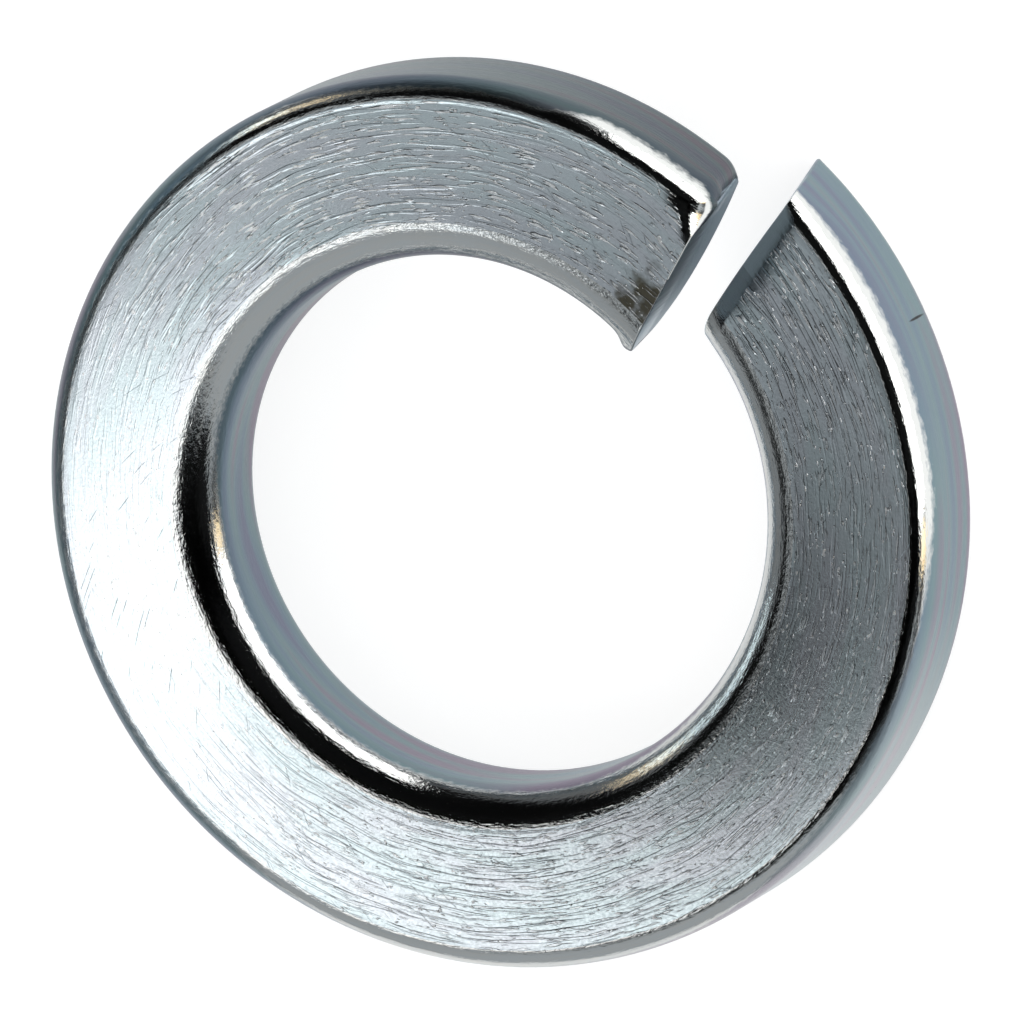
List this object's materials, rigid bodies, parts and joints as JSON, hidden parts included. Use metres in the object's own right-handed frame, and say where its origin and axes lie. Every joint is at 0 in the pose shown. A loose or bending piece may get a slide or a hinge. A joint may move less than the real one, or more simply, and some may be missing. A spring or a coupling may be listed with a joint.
{
  "type": "spring lock washer",
  "caption": "Split spring lock washer: a coil of rolled rectangular steel wire with sheared ends set at different heights, bright zinc plated.",
  "frame": {"origin": "on the bore axis, at the height of the low end's foot, which is the bottom centre of the box", "axes": "+Z along the bore axis, from the low end towards the high end; the gap lies 50 degrees from +X towards +Y"},
  "size_m": [0.0174, 0.0174, 0.0052],
  "materials": {
    "zinc_plated_spring_steel": "bright zinc plate with a clear bluish passivate over rolled spring steel, fine rolling lines round the faces, glossy rounded corners"
  },
  "bodies": {
    "root": {"lock_washer": "zinc_plated_spring_steel"}
  },
  "joints": []
}
